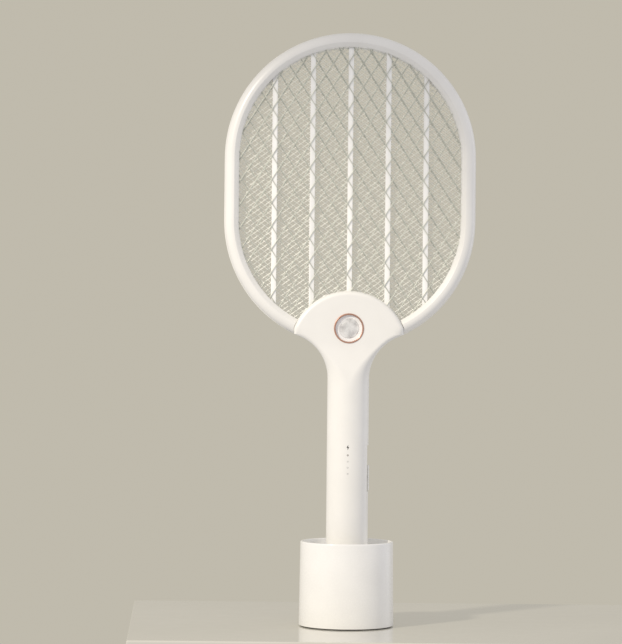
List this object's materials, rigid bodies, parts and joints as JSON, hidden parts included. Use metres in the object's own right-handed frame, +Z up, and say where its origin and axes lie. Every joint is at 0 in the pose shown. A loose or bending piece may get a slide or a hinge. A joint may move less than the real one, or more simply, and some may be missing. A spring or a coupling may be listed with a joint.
{
  "type": "electric fly swatter",
  "caption": "Racket shaped electric fly swatter with layered nets and a round grip, standing in a cylindrical charging base.",
  "frame": {"origin": "middle of the foot, on the surface that the base stands on", "axes": "+Z up along the handle, the front with the lamp faces -Y, +X to the right seen from the front"},
  "size_m": [0.2124, 0.08, 0.5012],
  "materials": {
    "white_shell": "satin white moulded plastic",
    "inner_white": "matt white moulded plastic",
    "guard_wire": "bare drawn wire",
    "hv_wire": "bare drawn wire",
    "rose_gold": "polished rose gold",
    "lens": "frosted clear",
    "light_pipe": "clear grey",
    "reflector": "bright white",
    "board": "solder mask",
    "black_plastic": "fine grain",
    "led": "clear resin",
    "fastener": "zinc plated",
    "contact": "gold flashed",
    "red_wire": "insulation",
    "black_wire": "insulation",
    "cell_sleeve": "shrink sleeve",
    "film_capacitor": "dipped",
    "coil": "taped winding",
    "rubber_foot": "matt",
    "ballast": "plated"
  },
  "bodies": {
    "base": {"base_shell": "white_shell", "base_well": "inner_white", "base_plate": "inner_white", "foot_ring": "rubber_foot", "ballast_ring": "ballast", "charging_board": "board", "usb_socket": "fastener", "base_leads": "red_wire", "pin_barrels": "contact", "pin_spring_left": "fastener", "pin_spring_right": "fastener", "base_screws": "fastener"},
    "swatter": {"front_frame": "white_shell", "rear_frame": "white_shell", "front_net": "guard_wire", "rear_net": "guard_wire", "hv_net": "hv_wire", "front_spacer": "inner_white", "rear_spacer": "inner_white", "frame_screws": "fastener", "ground_clip": "contact", "hv_terminal": "contact", "ground_lead": "black_wire", "hv_lead": "red_wire", "handle_front_shell": "white_shell", "handle_rear_shell": "white_shell", "handle_screws": "fastener", "lens_ring": "rose_gold", "lamp_lens": "lens", "lamp_reflector": "reflector", "lamp_board": "board", "lamp_leds": "led", "lamp_screws": "fastener", "lamp_lead": "inner_white", "main_board": "board", "board_screws": "fastener", "hv_transformer": "coil", "hv_capacitor": "film_capacitor", "hv_diodes": "black_plastic", "board_chips": "black_plastic", "indicator_leds": "led", "indicator_pipe": "light_pipe", "battery_cell": "cell_sleeve", "battery_tabs": "fastener", "battery_leads": "red_wire", "charge_leads": "black_wire", "end_cap": "inner_white", "contact_pads": "contact"},
    "switch": {"switch_knob": "white_shell", "switch_carriage": "black_plastic", "switch_wiper": "contact"},
    "left_pin": {"charging_pin_left": "contact"},
    "right_pin": {"charging_pin_right": "contact"}
  },
  "joints": [
    {"name": "swatter_lift", "type": "slide", "parent": "base", "child": "swatter", "axis": [0, 0, 1], "range_m": [0, 0.09]},
    {"name": "switch_slide", "type": "slide", "parent": "swatter", "child": "switch", "axis": [0, 0, 1], "range_m": [0, 0.016]},
    {"name": "left_pin_press", "type": "slide", "parent": "base", "child": "left_pin", "axis": [0, 0, 1], "range_m": [-0.0015, 0], "stiffness_N_per_m": 60, "springref_m": 0.002, "deforming": ["pin_spring_left"]},
    {"name": "right_pin_press", "type": "slide", "parent": "base", "child": "right_pin", "axis": [0, 0, 1], "range_m": [-0.0015, 0], "stiffness_N_per_m": 60, "springref_m": 0.002, "deforming": ["pin_spring_right"]}
  ]
}
